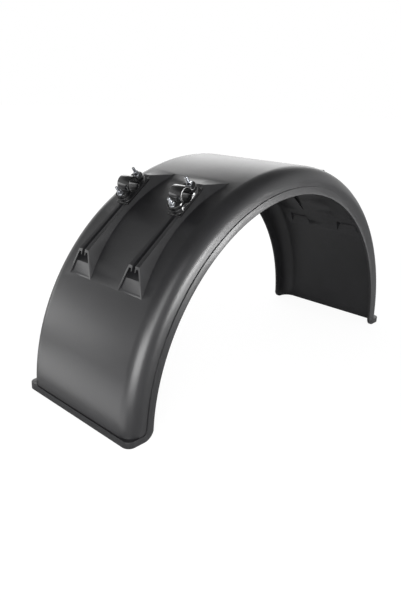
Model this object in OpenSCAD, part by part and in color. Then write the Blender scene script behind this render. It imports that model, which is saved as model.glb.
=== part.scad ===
// Half-round mudguard moulded in one piece, with four slotted rails and two tube clamps.
// Origin: centre of the arch on the ground. X runs along the arch, Y across it, Z up.
// "front" is the -Y side and "back" the +Y side. "upper" and "lower" are along the slope.

/* [Arch] */
// Radius of the crown's outer face
crown_r = 580; // [500:1:700]
// Width over the two plain side walls
body_w = 402; // [380:1:560]
// Thickness of the moulded sheet
sheet_t = 5; // [3:0.5:6]
// Radius of the shoulder between crown and side wall
shoulder_r = 41; // [25:1:50]
// Depth of the plain side wall, from the crown down to the rim
side_d = 52; // [48:1:80]

/* [Rim and end bands] */
// Height of the raised rim along the inner edge of each side wall
rim_h = 20; // [14:1:30]
// How far the rim stands proud of the side wall
rim_proud = 2.5; // [1.5:0.5:9]
// Radius of the rounding along the rim's outer edge
rim_edge_r = 1.5; // [0.5:0.5:2]
// Height of the raised band across each end
band_h = 17; // [12:1:26]
// How far the end band stands proud of the crown
band_proud = 4.5; // [2:0.5:7]
// Radius at which the end band turns the corner from crown to side wall
band_corner_r = 20; // [8:1:40]
// Radius of the rounded corner where the rim meets the ground
corner_r = 29; // [14:1:36]
// Radius of the corner where the plain wall meets rim and band
inset_r = 12; // [4:1:20]

/* [Rails] */
// Tilt of each rail's top from the horizontal
rail_tilt = 38.6; // [32:0.2:46]
// Distance between the two rails of a pair
rail_pitch = 188; // [150:1:240]
// Height of a rail's top over the crown at its middle
rail_rise = 12; // [9:0.5:16]
// Length of a rail's flat top
rail_l = 264; // [240:1:300]
// Width of a rail's top at its middle
rail_w = 29.4; // [28:0.2:40]
// Lean of a rail's side walls from upright
rail_lean = 29.7; // [20:0.1:35]
// Angle by which each side wall closes in uphill
rail_taper = 1.5; // [0:0.1:2]
// Thickness of a rail's walls
rail_t = 4.5; // [3:0.5:5]
// Thickness of the channel floor
floor_t = 5; // [3:0.5:6]
// Clearance on each side of a bolt in the slot along the rail's top
slot_gap = 1; // [0.5:0.1:1.5]
// Depth to which the slot's lips turn down
lip_d = 9; // [6:0.5:10]
// Thickness of the slot's lips
lip_t = 3.5; // [2:0.5:4]
// Length of rail top left whole above the slot
slot_land = 16; // [10:1:24]
// Depth of the pocket between the two fins below the mouth
pocket_d = 3; // [1:0.5:5]
// Height of the land left on the crown under the pocket
pocket_land = 0.5; // [0.3:0.1:2]

/* [Clamps] */
// Diameter of the tube that a clamp holds
tube_d = 34; // [25:0.5:36]
// Width of a clamp across the rail
clamp_w = 40; // [32:1:50]
// Distance of the upper bolt from the upper end of the slot
slot_back = 10; // [6:1:90]
// Thickness of the saddle under the tube
cradle_t = 8; // [6:0.5:12]
// Thickness of the cap's wall around the tube
cap_t = 4.3; // [3:0.1:6]
// Thickness of the cap's two ears
ear_t = 10; // [7:0.5:12]
// Clearance between a washer and the cap's round part
washer_gap = 5.5; // [0.5:0.1:8]
// Width of the ear left around a washer
ear_margin = 3; // [2:0.5:8]
// Radius of the rounded ends of a clamp's two halves, seen along the bolts
ear_r = 19; // [10:0.5:20]
// How far the saddle's foot reaches past each ear
foot_out = 1; // [0.5:0.5:8]
// How far the foot stands out on each side of the saddle
foot_side = 1.5; // [0.5:0.5:4]
// Thickness of the saddle's foot
foot_t = 4; // [3:0.5:8]
// Radius of the foot's corners
foot_r = 2; // [1:0.5:8]

/* [Fasteners] */
// Thread diameter of the coach bolts
bolt_d = 8; // [6:1:8]
// How far a bolt stands out above its nut
bolt_tip = 13.6; // [2:0.2:20]
// Diameter of a bolt's domed head
head_d = 20; // [18:0.5:22]
// Height of a bolt's domed head
head_h = 5; // [3:0.1:6]
// Width of a nut across its flats
nut_af = 13; // [12:0.5:14]
// Height of a nut
nut_h = 6.8; // [5:0.1:8]
// Outer diameter of a washer
washer_d = 16; // [15:0.5:18]
// Thickness of a washer
washer_t = 1.6; // [1:0.1:2]
// Length of a slide plate beyond each bolt
plate_margin = 12; // [11:0.5:16]
// Clearance between a slide plate and the channel's walls
plate_gap = 0.5; // [0.3:0.1:2]
// Thickness of a slide plate
plate_t = 4; // [3:0.5:5]
// Clearance between a bolt and the holes it passes through
hole_gap = 0.3; // [0.2:0.1:0.5]
// Clearance between a bolt's head and the channel's floor
head_gap = 4; // [1:0.5:8]
// Clearance between a nut's bore and its bolt
thread_gap = 0.05; // [0.02:0.01:0.1]

/* [Hidden] */
$fa = 2;
$fs = 0.8;

front = -1;
back = 1;
upper = 1;
lower = -1;
plastic = [0.16, 0.16, 0.165];
clamp_black = [0.07, 0.07, 0.075];
zinc = [0.78, 0.79, 0.8];

// A little more than any cut needs to pass right through
over = 1;
inner_r = crown_r - sheet_t;
rim_r = crown_r - side_d - rim_h;
rail_h = crown_r + rail_rise;
tube_r = tube_d / 2;
bolt_pitch = tube_d + 2 * cap_t + washer_d + 2 * washer_gap;
cap_l = bolt_pitch + washer_d + 2 * ear_margin;
foot_l = cap_l + 2 * foot_out;
plate_l = bolt_pitch + 2 * plate_margin;
slot_w = bolt_d + 2 * slot_gap;
slot_s = rail_l / 2 - slot_land;
clamp_s = slot_s - slot_back - bolt_pitch / 2;
hole_r = bolt_d / 2 + hole_gap;
// Levels above the arch's centre, measured along a rail's normal
axis_h = rail_h + cradle_t + tube_r;
split_h = axis_h - ear_t;
plate_h = rail_h - lip_d;
head_low = plate_h - plate_t;
floor_h = head_low - head_h - head_gap;
under_h = floor_h - floor_t;
// A level well below a rail's feet, where they meet the crown
rail_low = rail_h - rail_l / 2 * tan(rail_tilt);
nut_low = axis_h + washer_t;
bolt_l = nut_low + nut_h + bolt_tip - head_low;

// Half the clear width between a rail's walls, at a place along it and a level
function channel_half(s, h) = rail_w / 2 - rail_t / cos(rail_lean) - s * tan(rail_taper)
    + (rail_h - h) * tan(rail_lean) / cos(rail_taper);
plate_w = 2 * (channel_half(clamp_s + plate_l / 2, plate_h) - plate_gap);

// A section through the arch, solid down to r_in, with two rounded shoulders: its first
// coordinate is the radius, its second lies across the arch
module shoulder_section(r_out, half_w, r_corner, r_in) {
    intersection() {
        translate([r_in, -half_w])
            square([r_out - r_in, 2 * half_w]);
        union() {
            translate([0, -half_w])
                square([r_out - r_corner, 2 * half_w]);
            translate([0, r_corner - half_w])
                square([r_out, 2 * (half_w - r_corner)]);
            for (side = [front, back])
                translate([r_out - r_corner, side * (half_w - r_corner)])
                    circle(r = r_corner);
        }
    }
}

// The same section with the rim's outer edges rounded
module border_section(r_out, half_w, r_edge) {
    shoulder_section(r_out, half_w, band_corner_r, rim_r + r_edge);
    translate([rim_r, r_edge - half_w])
        square([r_out - band_corner_r - rim_r, 2 * (half_w - r_edge)]);
    for (side = [front, back])
        translate([rim_r + r_edge, side * (half_w - r_edge)])
            circle(r = r_edge);
}

// Half a turn of a section about the axle, over the ground
module half_turn() {
    rotate([90, 0, 0])
        rotate_extrude(angle = 180)
            children();
}

// A full turn of a section about the axle
module full_turn() {
    rotate([90, 0, 0])
        rotate_extrude()
            children();
}

// A side view, drawn in X and Z, given width across the arch
module across(w) {
    rotate([90, 0, 0])
        linear_extrude(height = w, center = true)
            children();
}

// Side view of the corner between a circle about the axle and a level, outside a fillet
module corner(edge_r, level, r) {
    centre_x = sqrt(pow(edge_r + r, 2) - pow(level + r, 2));
    touch_z = (level + r) * edge_r / (edge_r + r);
    difference() {
        translate([centre_x - r - over, level - over])
            square([r + over, touch_z - level + over]);
        translate([centre_x, level + r])
            circle(r = r);
    }
}

// Side view of what lies inside rim and bands: the plain part of crown and side walls
module plain_area() {
    difference() {
        translate([-2 * crown_r, band_h])
            square([4 * crown_r, 2 * crown_r]);
        circle(r = crown_r - side_d);
        for (flip = [0, 1])
            mirror([flip, 0])
                corner(crown_r - side_d, band_h, inset_r);
    }
}

// The arch without its rails: a shell that is proud all over, cut back to the plain surface
// everywhere but at the rims and the end bands, which stay as one raised border
module shell() {
    difference() {
        half_turn()
            border_section(crown_r + band_proud, body_w / 2 + rim_proud, rim_edge_r);
        full_turn()
            shoulder_section(inner_r, body_w / 2 - sheet_t, shoulder_r - sheet_t, rim_r - over);
        difference() {
            across(2 * body_w)
                plain_area();
            full_turn()
                shoulder_section(crown_r, body_w / 2, shoulder_r, rim_r - over);
        }
        for (flip = [0, 1])
            mirror([flip, 0, 0])
                across(2 * body_w)
                    corner(rim_r, 0, corner_r);
    }
}

// Rail frame: X runs uphill along the rail's top, Z along its normal, from the arch's centre
module on_rail(side) {
    translate([0, side * rail_pitch / 2, 0])
        rotate([0, -rail_tilt, 0])
            children();
}

// The space between a rail's two leaning side walls, each set in by the given thickness
module between_walls(inset) {
    reach = 2 * rail_l;
    intersection_for(flip = [0, 1])
        mirror([0, flip, 0])
            translate([0, rail_w / 2 - inset / cos(rail_lean), rail_h])
                rotate([rail_lean, 0, -rail_taper])
                    translate([-reach, -reach, -reach])
                        cube([2 * reach, reach, 2 * reach]);
}

// Place along a rail where its end face, drawn in by an inset, stands at a level
function end_s(inset, level) = rail_l / 2 - inset * tan(rail_tilt / 2)
    + (rail_h - inset - level) / tan(rail_tilt);

// Side view of what lies inside both sloping end faces, drawn in by an inset, between two levels
module between_ends(inset, low, high) {
    polygon([[-end_s(inset, high), high], [end_s(inset, high), high],
        [end_s(inset, low), low], [-end_s(inset, low), low]]);
}

// A rail's outer body: it dips into the crown's sheet at its ends, and its floor lies below
// the sheet at its middle
module rail_body() {
    intersection() {
        across(rail_pitch)
            difference() {
                between_ends(0, rail_low, rail_h);
                intersection() {
                    circle(r = crown_r - sheet_t / 2);
                    translate([-crown_r, 0])
                        square([2 * crown_r, under_h]);
                }
            }
        between_walls(0);
    }
}

// Side view of the channel, open at its lower end
module channel_side() {
    polygon([[-crown_r, floor_h], [-crown_r, rail_h - rail_t],
        [end_s(rail_t, rail_h - rail_t), rail_h - rail_t], [end_s(rail_t, floor_h), floor_h]]);
}

// Side view of the pocket between the two fins under the mouth
module pocket_side() {
    difference() {
        translate([-end_s(0, rail_low), rail_low])
            square([end_s(0, rail_low) - rail_l / 2, floor_h + over - rail_low]);
        between_ends(pocket_d, rail_low - over, rail_h - pocket_d);
        circle(r = crown_r + pocket_land);
    }
}

// Side view of the two hollows under the channel's floor, open to the inside of the arch
module under_floor_side() {
    floor_end = sqrt(pow(crown_r, 2) - pow(under_h, 2));
    difference() {
        between_ends(pocket_d + rail_t, rail_low, under_h);
        translate([-floor_end, 0])
            square([2 * floor_end, crown_r]);
    }
}

// The slot along a rail's top, or both its lips, from a level up through the top: open at the
// lower end and round at the upper one
module rail_slot(w, low) {
    round_s = slot_s - slot_w / 2;
    translate([0, 0, low])
        linear_extrude(height = rail_h + over - low) {
            translate([-crown_r, -w / 2])
                square([crown_r + round_s, w]);
            translate([round_s, 0])
                circle(d = w);
        }
}

// What is taken out of a rail, with the slot's lips left standing in the channel
module rail_hollow() {
    difference() {
        intersection() {
            across(rail_pitch) {
                channel_side();
                pocket_side();
                under_floor_side();
            }
            between_walls(rail_t);
        }
        rail_slot(slot_w + 2 * lip_t, plate_h);
    }
    rail_slot(slot_w, plate_h - over);
}

module mudguard_moulding() {
    color(plastic)
        difference() {
            union() {
                shell();
                for (flip = [0, 1], side = [front, back])
                    mirror([flip, 0, 0])
                        on_rail(side)
                            rail_body();
            }
            for (flip = [0, 1], side = [front, back])
                mirror([flip, 0, 0])
                    on_rail(side)
                        rail_hollow();
        }
}

// Clamp frame: the rail frame moved uphill to the clamp's middle
module on_clamp(side) {
    on_rail(side)
        translate([clamp_s, 0, 0])
            children();
}

// An oblong with rounded corners, seen along the bolts
module clamp_outline(l, w, r) {
    for (x = [-1, 1], y = [-1, 1])
        translate([x * (l / 2 - r), y * (w / 2 - r)])
            circle(r = r);
    square([l - 2 * r, w], center = true);
    square([l, w - 2 * r], center = true);
}

module bolt_holes() {
    for (end = [upper, lower])
        translate([end * bolt_pitch / 2, 0, 0])
            cylinder(r = hole_r, h = 2 * rail_h);
}

// The lower half of a clamp: a foot on the rail's top with a cradle for the tube
module clamp_saddle(side) {
    color(clamp_black)
        on_clamp(side)
            difference() {
                translate([0, 0, rail_h]) {
                    linear_extrude(height = foot_t)
                        clamp_outline(foot_l, clamp_w + 2 * foot_side, foot_r);
                    linear_extrude(height = split_h - rail_h)
                        clamp_outline(cap_l, clamp_w, ear_r);
                }
                translate([0, 0, axis_h])
                    across(2 * clamp_w)
                        circle(r = tube_r);
                bolt_holes();
            }
}

// The upper half of a clamp: a strap over the tube with an ear at each end
module clamp_cap(side) {
    color(clamp_black)
        on_clamp(side)
            difference() {
                union() {
                    across(clamp_w)
                        difference() {
                            translate([0, axis_h])
                                circle(r = tube_r + cap_t);
                            translate([-cap_l / 2, 0])
                                square([cap_l, split_h]);
                        }
                    translate([0, 0, split_h])
                        linear_extrude(height = ear_t)
                            clamp_outline(cap_l, clamp_w, ear_r);
                }
                across(2 * clamp_w) {
                    translate([0, axis_h])
                        circle(r = tube_r);
                    translate([-tube_r, 0])
                        square([tube_d, axis_h]);
                }
                bolt_holes();
            }
}

// The plate that slides in the channel and draws up against the slot's lips
module slide_plate(side) {
    color(zinc)
        on_clamp(side)
            difference() {
                translate([-plate_l / 2, -plate_w / 2, head_low])
                    cube([plate_l, plate_w, plate_t]);
                for (end = [upper, lower])
                    translate([end * bolt_pitch / 2, 0, head_low + plate_t / 2])
                        cube([bolt_d + hole_gap, bolt_d + hole_gap, plate_t + over], center = true);
            }
}

// A coach bolt: domed head in the channel, square neck in the slide plate, shank through the clamp
module bolt(side, end) {
    dome_r = (head_h * head_h + head_d * head_d / 4) / (2 * head_h);
    color(zinc)
        on_clamp(side)
            translate([end * bolt_pitch / 2, 0, head_low]) {
                intersection() {
                    translate([0, 0, dome_r - head_h])
                        sphere(r = dome_r);
                    translate([0, 0, -head_h])
                        cylinder(d = head_d, h = head_h);
                }
                translate([-bolt_d / 2, -bolt_d / 2, 0])
                    cube([bolt_d, bolt_d, plate_t]);
                cylinder(d = bolt_d, h = bolt_l);
            }
}

module washer(side, end) {
    color(zinc)
        on_clamp(side)
            translate([end * bolt_pitch / 2, 0, axis_h])
                difference() {
                    cylinder(d = washer_d, h = washer_t);
                    translate([0, 0, -over])
                        cylinder(r = hole_r, h = washer_t + 2 * over);
                }
}

// A hexagon nut with its upper corners chamfered
module nut(side, end) {
    corner_d = nut_af / cos(30);
    chamfer = (corner_d - nut_af) / 2 + hole_gap;
    color(zinc)
        on_clamp(side)
            translate([end * bolt_pitch / 2, 0, nut_low])
                difference() {
                    intersection() {
                        cylinder(d = corner_d, h = nut_h, $fn = 6);
                        union() {
                            cylinder(d = corner_d + over, h = nut_h - chamfer / 2);
                            translate([0, 0, nut_h - chamfer / 2])
                                cylinder(d1 = corner_d, d2 = corner_d - 2 * chamfer, h = chamfer / 2);
                        }
                    }
                    translate([0, 0, -over])
                        cylinder(r = bolt_d / 2 + thread_gap, h = nut_h + 2 * over);
                }
}

mudguard_moulding();
clamp_saddle(front);  // front_clamp_saddle
clamp_cap(front);  // front_clamp_cap
slide_plate(front);  // front_slide_plate
bolt(front, upper);  // front_upper_bolt
washer(front, upper);  // front_upper_washer
nut(front, upper);  // front_upper_nut
bolt(front, lower);  // front_lower_bolt
washer(front, lower);  // front_lower_washer
nut(front, lower);  // front_lower_nut
clamp_saddle(back);  // back_clamp_saddle
clamp_cap(back);  // back_clamp_cap
slide_plate(back);  // back_slide_plate
bolt(back, upper);  // back_upper_bolt
washer(back, upper);  // back_upper_washer
nut(back, upper);  // back_upper_nut
bolt(back, lower);  // back_lower_bolt
washer(back, lower);  // back_lower_washer
nut(back, lower);  // back_lower_nut
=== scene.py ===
"""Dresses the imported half-round mudguard: moulding, two tube clamps and their fasteners.

Lengths are in metres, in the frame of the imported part: X along the arch, Y across it, Z up.
"front" is the -Y side and "back" the +Y side, "upper" and "lower" are along the slope.
"""

from __future__ import annotations

import logging
import math
from dataclasses import dataclass
from enum import Enum

import bmesh
import bpy
from mathutils import Matrix, Vector


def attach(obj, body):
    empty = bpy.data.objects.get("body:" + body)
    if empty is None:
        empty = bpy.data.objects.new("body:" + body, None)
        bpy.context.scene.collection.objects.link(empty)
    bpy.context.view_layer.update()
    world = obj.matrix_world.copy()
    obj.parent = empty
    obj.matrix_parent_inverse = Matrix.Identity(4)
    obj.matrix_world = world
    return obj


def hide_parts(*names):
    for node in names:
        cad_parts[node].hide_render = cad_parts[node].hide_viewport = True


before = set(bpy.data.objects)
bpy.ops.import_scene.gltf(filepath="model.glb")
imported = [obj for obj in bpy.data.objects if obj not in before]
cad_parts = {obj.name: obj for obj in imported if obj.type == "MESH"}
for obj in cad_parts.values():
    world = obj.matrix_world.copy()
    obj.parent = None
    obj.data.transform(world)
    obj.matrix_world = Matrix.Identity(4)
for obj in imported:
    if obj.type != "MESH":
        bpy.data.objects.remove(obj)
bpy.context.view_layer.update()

LOG = logging.getLogger("mudguard")
MM = 0.001
BODY = "root"
# Points closer than this are one point
WELD = 0.001 * MM
# Faces closer to one plane than this are one flat face, and edges past the other are rounded
FLAT_DEG = 0.6
EDGE_DEG = 28.0


class Side(Enum):
    """Which of the two left rails a clamp sits on."""

    FRONT = ("front", -1)
    BACK = ("back", 1)

    @property
    def label(self) -> str:
        """The first word of the clamp's node names."""
        return self.value[0]

    @property
    def sign(self) -> int:
        """The sign of the rail's Y."""
        return self.value[1]


class End(Enum):
    """Which of a clamp's two bolts a fastener belongs to."""

    UPPER = ("upper", 1)
    LOWER = ("lower", -1)

    @property
    def label(self) -> str:
        """The second word of the fastener's node names."""
        return self.value[0]

    @property
    def sign(self) -> int:
        """The direction along the rail, uphill positive."""
        return self.value[1]


def linear(hex_colour: str) -> tuple[float, float, float, float]:
    """Turns an sRGB hex colour to the linear values that a shader takes.

    Args:
        hex_colour: Six hex digits, with or without a leading hash.

    Returns:
        Red, green, blue and an alpha of 1.
    """
    digits = hex_colour.lstrip("#")
    parts = [int(digits[i : i + 2], 16) / 255 for i in (0, 2, 4)]
    flat = [c / 12.92 if c <= 0.04045 else ((c + 0.055) / 1.055) ** 2.4 for c in parts]
    return flat[0], flat[1], flat[2], 1.0


def add_node(
    tree: bpy.types.NodeTree, kind: str, inputs: dict | None = None, **settings: object
) -> bpy.types.Node:
    """Adds one node to a tree with its settings and links.

    Args:
        tree: The tree that the node joins.
        kind: The node's type name.
        inputs: For an input's name or number, the socket it is linked to or its plain value.
        settings: Values for the node's own attributes.

    Returns:
        The new node.
    """
    node = tree.nodes.new(kind)
    for name, value in settings.items():
        setattr(node, name, value)
    for key, value in (inputs or {}).items():
        if isinstance(value, bpy.types.NodeSocket):
            tree.links.new(value, node.inputs[key])
        else:
            node.inputs[key].default_value = value
    return node


def new_material(name: str) -> bpy.types.Material:
    """Makes an empty node material."""
    material = bpy.data.materials.new(name)
    material.use_nodes = True
    material.node_tree.nodes.clear()
    return material


def shown_rays(tree: bpy.types.NodeTree) -> bpy.types.NodeSocket:
    """Adds the test for rays that show the background: from the camera, a gloss or a glass.

    Args:
        tree: The material's or the world's tree.

    Returns:
        A socket that is 1 for such rays and 0 for the rest.
    """
    path = add_node(tree, "ShaderNodeLightPath").outputs
    either = add_node(
        tree, "ShaderNodeMath", {0: path["Is Camera Ray"], 1: path["Is Glossy Ray"]}, operation="MAXIMUM"
    ).outputs[0]
    return add_node(
        tree, "ShaderNodeMath", {0: either, 1: path["Is Transmission Ray"]}, operation="MAXIMUM"
    ).outputs[0]


@dataclass(frozen=True)
class MouldedPolyethylene:
    """Injection-moulded black polyethylene with a fine cast-in grain.

    The grain breaks the gloss into a soft satin: near black face on, grey at a glancing angle.
    """

    name: str = "moulded_polyethylene_black"
    colour: str = "#1b1b1c"
    pale_colour: str = "#222224"
    ior: float = 1.51
    roughness: float = 0.35
    grain_mm: float = 1.6
    grain_depth_mm: float = 0.03
    blotch_mm: float = 90.0
    # painted highlight: the pale colour painted on the rails' mouth end faces, and the angle of the
    # downhill direction those faces look along
    cut_colour: str = "#cacace"
    mouth_face_deg: float = 38.6
    line_y: float = 25.0 * MM
    line_half_width: float = 1.3 * MM
    line_height: float = 0.1 * MM

    def build(self) -> bpy.types.Material:
        """Builds the material."""
        material = new_material(self.name)
        tree = material.node_tree
        place = add_node(tree, "ShaderNodeTexCoord").outputs["Object"]
        # slow drift of tone from the flow of the melt
        blotch = add_node(
            tree,
            "ShaderNodeTexNoise",
            {"Vector": place, "Scale": 1 / (self.blotch_mm * MM), "Detail": 3.0, "Roughness": 0.5},
        )
        colour = add_node(
            tree,
            "ShaderNodeMix",
            {"Factor": blotch.outputs["Fac"], 6: linear(self.colour), 7: linear(self.pale_colour)},
            data_type="RGBA",
        )
        # the end faces of the rails' mouths, which look downhill, are painted pale: a painted highlight
        # standing in for the light they catch
        axes = add_node(tree, "ShaderNodeSeparateXYZ", {"Vector": place}).outputs
        face = add_node(tree, "ShaderNodeTexCoord").outputs["Normal"]
        half = add_node(tree, "ShaderNodeMath", {0: axes["X"]}, operation="SIGN").outputs[0]
        mirror = add_node(tree, "ShaderNodeCombineXYZ", {"X": half, "Y": 1.0, "Z": 1.0}).outputs[0]
        even = add_node(
            tree, "ShaderNodeVectorMath", {0: face, 1: mirror}, operation="MULTIPLY"
        ).outputs[0]
        downhill = (math.cos(math.radians(self.mouth_face_deg)), 0.0, -math.sin(math.radians(self.mouth_face_deg)))
        facing = add_node(
            tree, "ShaderNodeVectorMath", {0: even, 1: downhill}, operation="DOT_PRODUCT"
        ).outputs["Value"]
        # painted highlight mask: only faces that look straight downhill get the pale colour
        painted_highlight_mask = add_node(
            tree, "ShaderNodeMath", {0: facing, 1: 0.997}, operation="GREATER_THAN"
        ).outputs[0]
        colour = add_node(
            tree,
            "ShaderNodeMix",
            {"Factor": painted_highlight_mask, 6: colour.outputs[2], 7: linear(self.cut_colour)},
            data_type="RGBA",
        )
        # the eroded tool surface: rounded grains with small pits between them
        grain = add_node(
            tree,
            "ShaderNodeTexVoronoi",
            {"Vector": place, "Scale": 1 / (self.grain_mm * MM), "Smoothness": 0.7},
            feature="SMOOTH_F1",
        )
        pits = add_node(
            tree,
            "ShaderNodeTexNoise",
            {"Vector": place, "Scale": 2.5 / (self.grain_mm * MM), "Detail": 2.0},
        )
        height = add_node(
            tree,
            "ShaderNodeMath",
            {0: grain.outputs["Distance"], 1: pits.outputs["Fac"]},
            operation="ADD",
        )
        # the mould's halves meet in a faint raised line along the arch
        off_line = add_node(
            tree, "ShaderNodeMath", {0: axes["Y"], 1: self.line_y}, operation="SUBTRACT"
        ).outputs[0]
        away = add_node(tree, "ShaderNodeMath", {0: off_line}, operation="ABSOLUTE").outputs[0]
        ridge = add_node(
            tree,
            "ShaderNodeMapRange",
            {
                "Value": away,
                "From Min": 0.0,
                "From Max": self.line_half_width,
                "To Min": self.line_height / (self.grain_depth_mm * MM),
                "To Max": 0.0,
            },
            interpolation_type="SMOOTHSTEP",
        ).outputs[0]
        height = add_node(tree, "ShaderNodeMath", {0: height.outputs[0], 1: ridge}, operation="ADD")
        bump = add_node(
            tree,
            "ShaderNodeBump",
            {"Height": height.outputs[0], "Strength": 1.0, "Distance": self.grain_depth_mm * MM},
        )
        rough = add_node(
            tree,
            "ShaderNodeMapRange",
            {
                "Value": blotch.outputs["Fac"],
                "To Min": self.roughness - 0.03,
                "To Max": self.roughness + 0.03,
            },
        )
        shader = add_node(
            tree,
            "ShaderNodeBsdfPrincipled",
            {
                "Base Color": colour.outputs[2],
                "Roughness": rough.outputs[0],
                "IOR": self.ior,
                "Normal": bump.outputs[0],
            },
        )
        add_node(tree, "ShaderNodeOutputMaterial", {"Surface": shader.outputs[0]})
        return material


@dataclass(frozen=True)
class MouldedNylon:
    """Injection-moulded black glass-filled nylon: smoother than the guard, with clear highlights."""

    name: str = "moulded_nylon_black"
    colour: str = "#131314"
    ior: float = 1.53
    roughness: float = 0.15
    ripple_mm: float = 4.0
    ripple_depth_mm: float = 0.04

    def build(self) -> bpy.types.Material:
        """Builds the material."""
        material = new_material(self.name)
        tree = material.node_tree
        place = add_node(tree, "ShaderNodeTexCoord").outputs["Object"]
        ripple = add_node(
            tree,
            "ShaderNodeTexNoise",
            {"Vector": place, "Scale": 1 / (self.ripple_mm * MM), "Detail": 4.0},
        )
        bump = add_node(
            tree,
            "ShaderNodeBump",
            {"Height": ripple.outputs["Fac"], "Strength": 1.0, "Distance": self.ripple_depth_mm * MM},
        )
        rough = add_node(
            tree,
            "ShaderNodeMapRange",
            {
                "Value": ripple.outputs["Fac"],
                "To Min": self.roughness - 0.03,
                "To Max": self.roughness + 0.05,
            },
        )
        shader = add_node(
            tree,
            "ShaderNodeBsdfPrincipled",
            {
                "Base Color": linear(self.colour),
                "Roughness": rough.outputs[0],
                "IOR": self.ior,
                "Normal": bump.outputs[0],
            },
        )
        add_node(tree, "ShaderNodeOutputMaterial", {"Surface": shader.outputs[0]})
        return material


@dataclass(frozen=True)
class ZincPlatedSteel:
    """Bright electroplated zinc on steel: pale, slightly blue, a little cloudy."""

    name: str = "zinc_plated_steel"
    colour: str = "#d4d6da"
    dull_colour: str = "#b4b6ba"
    roughness: float = 0.26
    cloud_mm: float = 3.0

    def build(self) -> bpy.types.Material:
        """Builds the material."""
        material = new_material(self.name)
        tree = material.node_tree
        place = add_node(tree, "ShaderNodeTexCoord").outputs["Object"]
        cloud = add_node(
            tree,
            "ShaderNodeTexNoise",
            {"Vector": place, "Scale": 1 / (self.cloud_mm * MM), "Detail": 3.0},
        )
        colour = add_node(
            tree,
            "ShaderNodeMix",
            {"Factor": cloud.outputs["Fac"], 6: linear(self.colour), 7: linear(self.dull_colour)},
            data_type="RGBA",
        )
        rough = add_node(
            tree,
            "ShaderNodeMapRange",
            {
                "Value": cloud.outputs["Fac"],
                "To Min": self.roughness - 0.06,
                "To Max": self.roughness + 0.1,
            },
        )
        shader = add_node(
            tree,
            "ShaderNodeBsdfPrincipled",
            {"Base Color": colour.outputs[2], "Metallic": 1.0, "Roughness": rough.outputs[0]},
        )
        add_node(tree, "ShaderNodeOutputMaterial", {"Surface": shader.outputs[0]})
        return material


@dataclass(frozen=True)
class StudioFloor:
    """Painted white board: bright for the camera, and it keeps a faint shadow near the object."""

    name: str = "studio_floor_white"
    colour: str = "#e8e8e8"
    kept_shadow: str = "#6c6c6c"
    near_white: float = 0.93
    near: float = 0.9
    far: float = 3.2

    def build(self) -> bpy.types.Material:
        """Builds the material."""
        material = new_material(self.name)
        tree = material.node_tree
        camera_ray = add_node(tree, "ShaderNodeLightPath").outputs["Is Camera Ray"]
        place = add_node(tree, "ShaderNodeTexCoord").outputs["Object"]
        distance = add_node(
            tree, "ShaderNodeVectorMath", {0: place}, operation="LENGTH"
        ).outputs["Value"]
        # past the lamps' reach the board is plain white, so that it has no horizon
        glow = add_node(
            tree,
            "ShaderNodeMapRange",
            {
                "Value": distance,
                "From Min": self.near,
                "From Max": self.far,
                "To Min": self.near_white,
                "To Max": 1.0,
            },
            interpolation_type="SMOOTHSTEP",
        ).outputs[0]
        plain = add_node(tree, "ShaderNodeBsdfDiffuse", {"Color": linear(self.colour)})
        white = add_node(
            tree, "ShaderNodeEmission", {"Color": linear("#ffffff"), "Strength": glow}
        )
        faint = add_node(tree, "ShaderNodeBsdfDiffuse", {"Color": linear(self.kept_shadow)})
        both = add_node(tree, "ShaderNodeAddShader", {0: white.outputs[0], 1: faint.outputs[0]})
        mix = add_node(
            tree,
            "ShaderNodeMixShader",
            {"Fac": camera_ray, 1: plain.outputs[0], 2: both.outputs[0]},
        )
        add_node(tree, "ShaderNodeOutputMaterial", {"Surface": mix.outputs[0]})
        return material


@dataclass(frozen=True)
class Finishes:
    """The materials of the part, built once."""

    moulding: bpy.types.Material
    clamp: bpy.types.Material
    zinc: bpy.types.Material

    @classmethod
    def build(cls) -> Finishes:
        """Builds each finish."""
        return cls(MouldedPolyethylene().build(), MouldedNylon().build(), ZincPlatedSteel().build())


@dataclass(frozen=True)
class RailFrame:
    """Where a left rail lies: its X runs uphill along the rail's top, its Z along the normal."""

    tilt_deg: float = 38.6
    pitch: float = 188.0 * MM

    def place(self, side: Side, along: float, level: float) -> Matrix:
        """Finds a place on a rail, turned with it.

        Args:
            side: Which of the two rails.
            along: Distance uphill from the rail's middle.
            level: Distance from the arch's centre along the rail's normal.

        Returns:
            The place as a matrix.
        """
        return (
            Matrix.Translation((0, side.sign * self.pitch / 2, 0))
            @ Matrix.Rotation(-math.radians(self.tilt_deg), 4, "Y")
            @ Matrix.Translation((along, 0, level))
        )


def welded_copy(node_name: str) -> bmesh.types.BMesh:
    """Copies a CAD node as one welded shape with whole flat faces.

    Args:
        node_name: The node's name.

    Returns:
        The shape.
    """
    shape = bmesh.new()
    shape.from_mesh(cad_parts[node_name].data)
    bmesh.ops.remove_doubles(shape, verts=shape.verts, dist=WELD)
    bmesh.ops.dissolve_limit(
        shape, angle_limit=math.radians(FLAT_DEG), verts=shape.verts, edges=shape.edges
    )
    return shape


def revolve(profile: list[tuple[float, float]], sides: int, closed: bool) -> bmesh.types.BMesh:
    """Turns a profile about Z.

    Args:
        profile: Radius and height of each point.
        sides: Number of steps in the turn.
        closed: Whether the profile's last point joins its first, as on a ring.

    Returns:
        The shape, with its points on the axis welded.
    """
    shape = bmesh.new()
    rings = []
    for step in range(sides):
        turn = math.tau * step / sides
        rings.append(
            [shape.verts.new((r * math.cos(turn), r * math.sin(turn), z)) for r, z in profile]
        )
    last = len(profile) if closed else len(profile) - 1
    for step in range(sides):
        here, after = rings[step], rings[(step + 1) % sides]
        for i in range(last):
            j = (i + 1) % len(profile)
            shape.faces.new((here[i], after[i], after[j], here[j]))
    bmesh.ops.remove_doubles(shape, verts=shape.verts, dist=WELD)
    return shape


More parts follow.
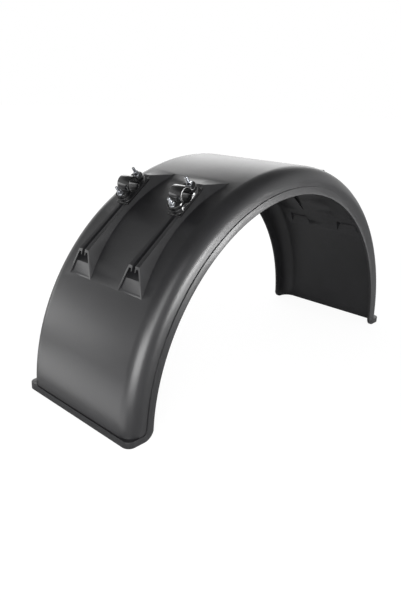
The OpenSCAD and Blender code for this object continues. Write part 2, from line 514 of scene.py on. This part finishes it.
def add_shape(whole: bmesh.types.BMesh, part: bmesh.types.BMesh) -> None:
    """Adds a closed shape to another and frees it."""
    carrier = bpy.data.meshes.new("carrier")
    part.to_mesh(carrier)
    part.free()
    whole.from_mesh(carrier)
    bpy.data.meshes.remove(carrier)


def finish_piece(
    name: str,
    shape: bmesh.types.BMesh,
    material: bpy.types.Material,
    replaced: str | None = None,
    place: Matrix | None = None,
    sharp_deg: float | None = 32.0,
) -> bpy.types.Object:
    """Turns a shape into a finished piece of the part.

    Args:
        name: The piece's name.
        shape: Its shape, which is freed.
        material: Its material.
        replaced: The CAD node that it stands for, if it stands for one.
        place: Where it goes, if it isn't there yet.
        sharp_deg: Edges past this angle stay sharp, or none do.

    Returns:
        The piece, at the origin with its place in its mesh.
    """
    bmesh.ops.remove_doubles(shape, verts=shape.verts, dist=WELD)
    bmesh.ops.recalc_face_normals(shape, faces=shape.faces)
    if place is not None:
        shape.transform(place)
    for face in shape.faces:
        face.smooth = True
    mesh = bpy.data.meshes.new(name)
    shape.to_mesh(mesh)
    shape.free()
    if sharp_deg is not None:
        mesh.set_sharp_from_angle(angle=math.radians(sharp_deg))
    mesh.materials.append(material)
    piece = bpy.data.objects.new(name, mesh)
    bpy.context.scene.collection.objects.link(piece)
    if replaced is not None:
        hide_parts(replaced)
    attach(piece, BODY)
    return piece


def round_edges(piece: bpy.types.Object, radius: float, clamped: bool = True) -> None:
    """Rounds a piece's sharp edges, as a mould or a tumbling barrel leaves them.

    Args:
        piece: The piece.
        radius: Width of the rounding.
        clamped: Whether it narrows where two roundings would meet.
    """
    bevel = piece.modifiers.new("rounded_edges", "BEVEL")
    bevel.width = radius
    bevel.segments = 3
    bevel.limit_method = "ANGLE"
    bevel.angle_limit = math.radians(EDGE_DEG)
    bevel.use_clamp_overlap = clamped
    bevel.harden_normals = True


def grow(tree: bpy.types.NodeTree, sizes: dict[str, object]) -> bpy.types.Mesh:
    """Runs a geometry tree and keeps its result as a plain mesh.

    Args:
        tree: The tree.
        sizes: A value for each of the tree's named inputs.

    Returns:
        The mesh.
    """
    seed = bpy.data.meshes.new("seed")
    carrier = bpy.data.objects.new("carrier", seed)
    bpy.context.scene.collection.objects.link(carrier)
    modifier = carrier.modifiers.new("grow", "NODES")
    modifier.node_group = tree
    for item in tree.interface.items_tree:
        if item.in_out == "INPUT":
            modifier[item.identifier] = sizes[item.name]
    evaluated = carrier.evaluated_get(bpy.context.evaluated_depsgraph_get())
    mesh = bpy.data.meshes.new_from_object(evaluated)
    carrier.modifiers.remove(modifier)
    bpy.data.objects.remove(carrier)
    bpy.data.meshes.remove(seed)
    return mesh


def new_geometry_tree(name: str, sizes: dict[str, str]) -> bpy.types.NodeTree:
    """Makes an empty geometry tree with named inputs.

    Args:
        name: The tree's name.
        sizes: The socket type of each input, by its name.

    Returns:
        The tree.
    """
    tree = bpy.data.node_groups.new(name, "GeometryNodeTree")
    for label, kind in sizes.items():
        tree.interface.new_socket(name=label, in_out="INPUT", socket_type=kind)
    tree.interface.new_socket(name="Geometry", in_out="OUTPUT", socket_type="NodeSocketGeometry")
    return tree


def end_tree(
    tree: bpy.types.NodeTree, shape: bpy.types.NodeSocket, material: bpy.types.NodeSocket
) -> None:
    """Ends a geometry tree: instances made real, material set."""
    real = add_node(tree, "GeometryNodeRealizeInstances", {"Geometry": shape})
    dressed = add_node(
        tree, "GeometryNodeSetMaterial", {"Geometry": real.outputs[0], "Material": material}
    )
    add_node(tree, "NodeGroupOutput", {0: dressed.outputs[0]})


@dataclass(frozen=True)
class ScrewThread:
    """A rolled metric thread: a helical surface of roots, flanks and crests, with a chamfered tip."""

    radius: float = 4.0 * MM
    depth: float = 0.77 * MM
    pitch: float = 1.25 * MM
    length: float = 30.0 * MM
    sides: int = 32
    # where a turn's rows lie, as shares of the pitch: the root's two edges, then the crest's
    row_shares: tuple[float, ...] = (0.0, 0.25, 0.5625, 0.6875)

    def tree(self) -> bpy.types.NodeTree:
        """Builds the geometry tree: a grid whose rows are wrapped along the helix."""
        tree = new_geometry_tree(
            "screw_thread",
            {
                "Radius": "NodeSocketFloat",
                "Depth": "NodeSocketFloat",
                "Pitch": "NodeSocketFloat",
                "Length": "NodeSocketFloat",
                "Sides": "NodeSocketInt",
                "Material": "NodeSocketMaterial",
            },
        )
        math_node = "ShaderNodeMath"
        size = add_node(tree, "NodeGroupInput").outputs
        rows_a_turn = len(self.row_shares)
        turns = add_node(
            tree, math_node, {0: size["Length"], 1: size["Pitch"]}, operation="DIVIDE"
        ).outputs[0]
        turns = add_node(tree, math_node, {0: turns}, operation="CEIL").outputs[0]
        rows = add_node(
            tree,
            math_node,
            {0: turns, 1: float(rows_a_turn), 2: 2.0 * rows_a_turn + 1.0},
            operation="MULTIPLY_ADD",
        ).outputs[0]
        columns = add_node(tree, math_node, {0: size["Sides"], 1: 1.0}, operation="ADD").outputs[0]
        grid = add_node(
            tree, "GeometryNodeMeshGrid", {"Vertices X": columns, "Vertices Y": rows}
        ).outputs["Mesh"]
        index = add_node(tree, "GeometryNodeInputIndex").outputs[0]
        column = add_node(tree, math_node, {0: index, 1: rows}, operation="DIVIDE").outputs[0]
        column = add_node(tree, math_node, {0: column}, operation="FLOOR").outputs[0]
        row = add_node(tree, math_node, {0: index, 1: rows}, operation="MODULO").outputs[0]
        turn = add_node(
            tree, math_node, {0: row, 1: float(rows_a_turn)}, operation="DIVIDE"
        ).outputs[0]
        turn = add_node(tree, math_node, {0: turn}, operation="FLOOR").outputs[0]
        phase = add_node(
            tree, math_node, {0: row, 1: float(rows_a_turn)}, operation="MODULO"
        ).outputs[0]
        share = add_node(tree, "GeometryNodeIndexSwitch", data_type="FLOAT")
        while len(share.index_switch_items) < rows_a_turn:
            share.index_switch_items.new()
        tree.links.new(phase, share.inputs[0])
        for i, value in enumerate(self.row_shares):
            share.inputs[i + 1].default_value = value
        around = add_node(
            tree, math_node, {0: column, 1: size["Sides"]}, operation="DIVIDE"
        ).outputs[0]
        # the helix starts one turn below the shank, so that every column crosses its end
        climbed = add_node(
            tree, math_node, {0: turn, 1: share.outputs[0]}, operation="ADD"
        ).outputs[0]
        climbed = add_node(tree, math_node, {0: climbed, 1: around}, operation="ADD").outputs[0]
        climbed = add_node(tree, math_node, {0: climbed, 1: 1.0}, operation="SUBTRACT").outputs[0]
        climbed = add_node(
            tree, math_node, {0: climbed, 1: size["Pitch"]}, operation="MULTIPLY"
        ).outputs[0]
        left = add_node(
            tree, math_node, {0: size["Length"], 1: climbed}, operation="SUBTRACT"
        ).outputs[0]
        height = add_node(
            tree, "ShaderNodeClamp", {"Value": climbed, "Min": 0.0, "Max": size["Length"]}
        ).outputs[0]
        # the thread runs out to its root within a pitch of each end
        room = add_node(tree, math_node, {0: climbed, 1: left}, operation="MINIMUM").outputs[0]
        room = add_node(
            tree, math_node, {0: room, 1: size["Pitch"]}, operation="DIVIDE", use_clamp=True
        ).outputs[0]
        crest = add_node(
            tree, math_node, {0: phase, 1: rows_a_turn / 2 - 0.5}, operation="GREATER_THAN"
        ).outputs[0]
        rise = add_node(tree, math_node, {0: crest, 1: room}, operation="MULTIPLY").outputs[0]
        rise = add_node(tree, math_node, {0: rise, 1: 1.0}, operation="SUBTRACT").outputs[0]
        radius = add_node(
            tree,
            math_node,
            {0: rise, 1: size["Depth"], 2: size["Radius"]},
            operation="MULTIPLY_ADD",
        ).outputs[0]
        root = add_node(
            tree, math_node, {0: size["Radius"], 1: size["Depth"]}, operation="SUBTRACT"
        ).outputs[0]
        chamfer = add_node(
            tree, math_node, {0: size["Length"], 1: height}, operation="SUBTRACT"
        ).outputs[0]
        chamfer = add_node(tree, math_node, {0: chamfer, 1: root}, operation="ADD").outputs[0]
        radius = add_node(tree, math_node, {0: radius, 1: chamfer}, operation="MINIMUM").outputs[0]
        angle = add_node(tree, math_node, {0: around, 1: math.tau}, operation="MULTIPLY").outputs[0]
        reach = []
        for operation in ("COSINE", "SINE"):
            way = add_node(tree, math_node, {0: angle}, operation=operation).outputs[0]
            reach.append(
                add_node(tree, math_node, {0: way, 1: radius}, operation="MULTIPLY").outputs[0]
            )
        place = add_node(
            tree, "ShaderNodeCombineXYZ", {"X": reach[0], "Y": reach[1], "Z": height}
        ).outputs[0]
        wrapped = add_node(
            tree, "GeometryNodeSetPosition", {"Geometry": grid, "Position": place}
        ).outputs[0]
        welded = add_node(
            tree, "GeometryNodeMergeByDistance", {"Geometry": wrapped, "Distance": WELD}
        ).outputs[0]
        end_tree(tree, welded, size["Material"])
        return tree

    def shape(self, material: bpy.types.Material) -> bmesh.types.BMesh:
        """Grows the thread and closes its two ends.

        Args:
            material: The fastener's material.

        Returns:
            A closed shape that stands on the origin.
        """
        mesh = grow(
            self.tree(),
            {
                "Radius": self.radius,
                "Depth": self.depth,
                "Pitch": self.pitch,
                "Length": self.length,
                "Sides": self.sides,
                "Material": material,
            },
        )
        shape = bmesh.new()
        shape.from_mesh(mesh)
        bpy.data.meshes.remove(mesh)
        bmesh.ops.remove_doubles(shape, verts=shape.verts, dist=WELD)
        open_edges = [edge for edge in shape.edges if edge.is_boundary]
        bmesh.ops.holes_fill(shape, edges=open_edges, sides=0)
        return shape


@dataclass(frozen=True)
class CoachBolt:
    """An M8 coach bolt: domed head, square neck, plain shank and rolled thread."""

    head_radius: float = 10.0 * MM
    head_height: float = 5.0 * MM
    neck_width: float = 8.0 * MM
    neck_height: float = 4.0 * MM
    neck_round: float = 0.4 * MM
    radius: float = 4.0 * MM
    length: float = 60.0 * MM
    thread: ScrewThread = ScrewThread()
    overlap: float = 0.3 * MM
    dome_steps: int = 10
    sides: int = 48

    def shape(self, material: bpy.types.Material) -> bmesh.types.BMesh:
        """Builds the bolt with the underside of its head at the origin.

        Args:
            material: The fastener's material.

        Returns:
            The shape, made of four closed bodies sunk into each other.
        """
        dome = (self.head_height**2 + self.head_radius**2) / (2 * self.head_height)
        widest = math.asin(self.head_radius / dome)
        profile = []
        for step in range(self.dome_steps + 1):
            turn = widest * step / self.dome_steps
            profile.append((dome * math.sin(turn), dome - self.head_height - dome * math.cos(turn)))
        profile.append((0.0, 0.0))
        whole = revolve(profile, self.sides, closed=False)
        neck = bmesh.new()
        size = (self.neck_width, self.neck_width, self.neck_height + self.overlap)
        bmesh.ops.create_cube(neck, size=1.0, matrix=Matrix.Diagonal((*size, 1.0)))
        neck.transform(Matrix.Translation((0, 0, size[2] / 2 - self.overlap)))
        bmesh.ops.bevel(
            neck, geom=neck.edges[:], offset=self.neck_round, segments=2, affect="EDGES", profile=0.5
        )
        add_shape(whole, neck)
        thread_start = self.length - self.thread.length
        step_in = self.thread.depth
        shank = [
            (0.0, self.neck_height - self.overlap),
            (self.radius, self.neck_height - self.overlap),
            (self.radius, thread_start),
            (self.radius - step_in, thread_start + step_in),
            (0.0, thread_start + step_in),
        ]
        add_shape(whole, revolve(shank, self.sides, closed=False))
        thread = self.thread.shape(material)
        thread.transform(Matrix.Translation((0, 0, thread_start)))
        add_shape(whole, thread)
        return whole


@dataclass(frozen=True)
class HexNut:
    """An M8 hexagon nut with both faces chamfered and its bore countersunk."""

    across_flats: float = 13.0 * MM
    height: float = 6.8 * MM
    bore_radius: float = 4.05 * MM
    countersink: float = 0.55 * MM
    face_radius: float = 6.15 * MM
    chamfer_deg: float = 30.0
    steps_a_flat: int = 10

    def shape(self) -> bmesh.types.BMesh:
        """Builds the nut on the origin: a ring whose outside follows the hexagon."""
        shape = bmesh.new()
        steps = 6 * self.steps_a_flat
        slope = math.tan(math.radians(self.chamfer_deg))
        rings = []
        for step in range(steps):
            turn = math.tau * step / steps
            off_flat = (turn % (math.tau / 6)) - math.tau / 12
            out = self.across_flats / 2 / math.cos(off_flat)
            drop = (out - self.face_radius) * slope
            profile = (
                (self.bore_radius, self.countersink),
                (self.bore_radius + self.countersink, 0.0),
                (self.face_radius, 0.0),
                (out, drop),
                (out, self.height - drop),
                (self.face_radius, self.height),
                (self.bore_radius + self.countersink, self.height),
                (self.bore_radius, self.height - self.countersink),
            )
            rings.append(
                [shape.verts.new((r * math.cos(turn), r * math.sin(turn), z)) for r, z in profile]
            )
        for step in range(steps):
            here, after = rings[step], rings[(step + 1) % steps]
            for i in range(len(here)):
                j = (i + 1) % len(here)
                shape.faces.new((here[i], after[i], after[j], here[j]))
        return shape


@dataclass(frozen=True)
class Washer:
    """An M8 washer, punched from sheet: its upper edge is rolled over, its lower one square."""

    outer_radius: float = 8.0 * MM
    hole_radius: float = 4.3 * MM
    thickness: float = 1.6 * MM
    roll: float = 0.5 * MM
    roll_steps: int = 3
    sides: int = 48

    def shape(self) -> bmesh.types.BMesh:
        """Builds the washer on the origin."""
        profile = [(self.hole_radius, 0.0), (self.outer_radius, 0.0)]
        for step in range(self.roll_steps + 1):
            turn = math.pi / 2 * step / self.roll_steps
            profile.append(
                (
                    self.outer_radius - self.roll * (1 - math.cos(turn)),
                    self.thickness - self.roll * (1 - math.sin(turn)),
                )
            )
        profile.append((self.hole_radius, self.thickness))
        return revolve(profile, self.sides, closed=True)


@dataclass
class Moulding:
    """The arch with its rims, end bands and four rails."""

    node: str = "mudguard_moulding"
    slot: str = "moulding_black"
    edge_round: float = 1.3 * MM

    def build(self, finishes: Finishes) -> list[bpy.types.Object]:
        """Builds the moulding with its edges softened.

        Args:
            finishes: The materials.

        Returns:
            The pieces.
        """
        material = finishes.moulding
        body = finish_piece(
            "guard_moulding", welded_copy(self.node), material, self.node, sharp_deg=None
        )
        round_edges(body, self.edge_round)
        return [body]


@dataclass
class TubeClamp:
    """A saddle and a cap round a tube, with a slide plate in the rail's channel."""

    side: Side
    rail: RailFrame = RailFrame()
    bolt: CoachBolt = CoachBolt()
    nut: HexNut = HexNut()
    washer: Washer = Washer()
    along: float = 71.2 * MM
    bolt_pitch: float = 69.6 * MM
    head_level: float = 579.0 * MM
    ear_level: float = 617.0 * MM
    edge_round: float = 0.9 * MM
    plate_round: float = 0.5 * MM

    def build(self, finishes: Finishes) -> list[bpy.types.Object]:
        """Builds the clamp and its fasteners.

        Args:
            finishes: The materials.

        Returns:
            The pieces.
        """
        label = self.side.label
        pieces = []
        for half in ("clamp_saddle", "clamp_cap"):
            node = f"{label}_{half}"
            piece = finish_piece(
                f"{node}_moulded", welded_copy(node), finishes.clamp, node, sharp_deg=None
            )
            round_edges(piece, self.edge_round, clamped=False)
            pieces.append(piece)
        node = f"{label}_slide_plate"
        plate = finish_piece(
            f"{node}_pressed", welded_copy(node), finishes.zinc, node, sharp_deg=None
        )
        round_edges(plate, self.plate_round)
        pieces.append(plate)
        for end in End:
            pieces += self.fasten(end, finishes.zinc)
        return pieces

    def fasten(self, end: End, zinc: bpy.types.Material) -> list[bpy.types.Object]:
        """Builds one bolt with its washer and nut.

        Args:
            end: Which of the clamp's two bolts.
            zinc: The fasteners' material.

        Returns:
            The three pieces.
        """
        along = self.along + end.sign * self.bolt_pitch / 2
        nut_level = self.ear_level + self.washer.thickness
        pieces = []
        for kind, shape, level in (
            ("bolt", self.bolt.shape(zinc), self.head_level),
            ("washer", self.washer.shape(), self.ear_level),
            ("nut", self.nut.shape(), nut_level),
        ):
            node = f"{self.side.label}_{end.label}_{kind}"
            place = self.rail.place(self.side, along, level)
            pieces.append(finish_piece(f"{node}_zinc", shape, zinc, node, place))
        return pieces


@dataclass(frozen=True)
class Softbox:
    """A rectangular soft lamp that stands round the object and faces it."""

    name: str
    bearing_deg: float
    distance: float
    height: float
    width: float
    tall: float
    power: float
    flat: bool = False

    def hang(self, aim: Vector) -> None:
        """Hangs the lamp.

        Args:
            aim: The point that it faces, unless it lies flat and faces up.
        """
        bearing = math.radians(self.bearing_deg)
        place = Vector(
            (self.distance * math.cos(bearing), self.distance * math.sin(bearing), self.height)
        )
        data = bpy.data.lights.new(self.name, "AREA")
        data.shape = "RECTANGLE"
        data.size = self.width
        data.size_y = self.tall
        data.energy = self.power
        lamp = bpy.data.objects.new(self.name, data)
        way = Vector((0, 0, 1)) if self.flat else aim - place
        turn = way.to_track_quat("-Z", "Y").to_matrix().to_4x4()
        lamp.matrix_world = Matrix.Translation(place) @ turn
        lamp.visible_camera = False
        bpy.context.scene.collection.objects.link(lamp)


@dataclass
class Studio:
    """Camera, floor, lamps and background."""

    camera_place: tuple[float, float, float] = (-1.283554, -1.045522, 0.752443)
    azimuth: float = -47.406
    elevation: float = 19.855
    roll: float = 2.257
    lens_mm: float = 34.614
    sensor_mm: float = 36.0
    floor_size: float = 40.0
    world_strength: float = 0.25
    ceiling_strength: float = 0.2
    backdrop_top_deg: float = 18.0
    ceiling_from_deg: float = 46.0
    aim: tuple[float, float, float] = (0.0, 0.0, 0.3)
    lamps: tuple[Softbox, ...] = (
        Softbox("near_left_lamp", 207.0, 2.3, 0.42, 1.3, 0.8, 36.0),
        Softbox("behind_camera_lamp", 225.0, 2.3, 1.35, 0.9, 0.9, 12.0),
        Softbox("right_lamp", 290.0, 2.3, 0.13, 1.1, 0.24, 36.0),
        Softbox("back_lamp", 48.0, 2.3, 1.35, 3.0, 1.2, 22.0),
        Softbox("left_back_lamp", 129.0, 2.3, 0.3, 1.4, 0.5, 6.0),
        Softbox("left_floor_lamp", 165.0, 0.97, 0.01, 0.6, 0.9, 3.2, flat=True),
        Softbox("right_floor_lamp", 299.0, 1.5, 0.01, 1.1, 1.0, 20.0, flat=True),
    )

    def make_camera(self) -> None:
        """Stands the camera where the picture was taken from."""
        data = bpy.data.cameras.new("camera")
        data.lens = self.lens_mm
        data.sensor_width = self.sensor_mm
        data.sensor_fit = "AUTO"
        data.clip_start = 0.05
        data.clip_end = 100.0
        camera = bpy.data.objects.new("camera", data)
        azimuth, elevation = math.radians(self.azimuth), math.radians(self.elevation)
        back = Vector(
            (
                math.sin(azimuth) * math.cos(elevation),
                -math.cos(azimuth) * math.cos(elevation),
                math.sin(elevation),
            )
        )
        right = (-back).cross(Vector((0, 0, 1))).normalized()
        up = back.cross(right)
        turn = Matrix((right, up, back)).transposed()
        camera.matrix_world = (
            Matrix.Translation(self.camera_place)
            @ turn.to_4x4()
            @ Matrix.Rotation(math.radians(self.roll), 4, "Z")
        )
        bpy.context.scene.collection.objects.link(camera)
        bpy.context.scene.camera = camera

    def make_floor(self) -> None:
        """Lays the floor that the guard stands on."""
        half = self.floor_size / 2
        corners = [(-half, -half, 0), (half, -half, 0), (half, half, 0), (-half, half, 0)]
        mesh = bpy.data.meshes.new("studio_floor")
        mesh.from_pydata(corners, [], [(0, 1, 2, 3)])
        mesh.materials.append(StudioFloor().build())
        floor = bpy.data.objects.new("studio_floor", mesh)
        bpy.context.scene.collection.objects.link(floor)

    def make_world(self) -> None:
        """Fills the background with white, under a dim ceiling that only reflections reach."""
        world = bpy.data.worlds.new("studio_world")
        world.use_nodes = True
        tree = world.node_tree
        tree.nodes.clear()
        white = linear("#ffffff")
        way = add_node(tree, "ShaderNodeTexCoord").outputs["Generated"]
        rise = add_node(tree, "ShaderNodeSeparateXYZ", {"Vector": way}).outputs["Z"]
        ceiling = add_node(
            tree,
            "ShaderNodeMapRange",
            {
                "Value": rise,
                "From Min": math.sin(math.radians(self.backdrop_top_deg)),
                "From Max": math.sin(math.radians(self.ceiling_from_deg)),
                "To Min": 1.0,
                "To Max": self.ceiling_strength,
            },
            interpolation_type="SMOOTHSTEP",
        ).outputs[0]
        camera_ray = add_node(tree, "ShaderNodeLightPath").outputs["Is Camera Ray"]
        strength = add_node(
            tree, "ShaderNodeMath", {0: ceiling, 1: camera_ray}, operation="MAXIMUM"
        ).outputs[0]
        lit = add_node(
            tree, "ShaderNodeBackground", {"Color": white, "Strength": self.world_strength}
        )
        seen = add_node(tree, "ShaderNodeBackground", {"Color": white, "Strength": strength})
        mix = add_node(
            tree,
            "ShaderNodeMixShader",
            {"Fac": shown_rays(tree), 1: lit.outputs[0], 2: seen.outputs[0]},
        )
        add_node(tree, "ShaderNodeOutputWorld", {"Surface": mix.outputs[0]})
        bpy.context.scene.world = world

    def build(self) -> None:
        """Sets up the whole studio."""
        self.make_camera()
        self.make_floor()
        for lamp in self.lamps:
            lamp.hang(Vector(self.aim))
        self.make_world()
        bpy.context.scene.view_settings.view_transform = "Standard"


def main() -> None:
    """Builds every sub-assembly in order and reports each piece."""
    logging.basicConfig(level=logging.INFO, format="%(name)s: %(message)s")
    Studio().build()
    finishes = Finishes.build()
    for assembly in (Moulding(), TubeClamp(Side.FRONT), TubeClamp(Side.BACK)):
        for piece in assembly.build(finishes):
            LOG.info("%s: %d faces", piece.name, len(piece.data.polygons))


if __name__ == "__main__":
    main()
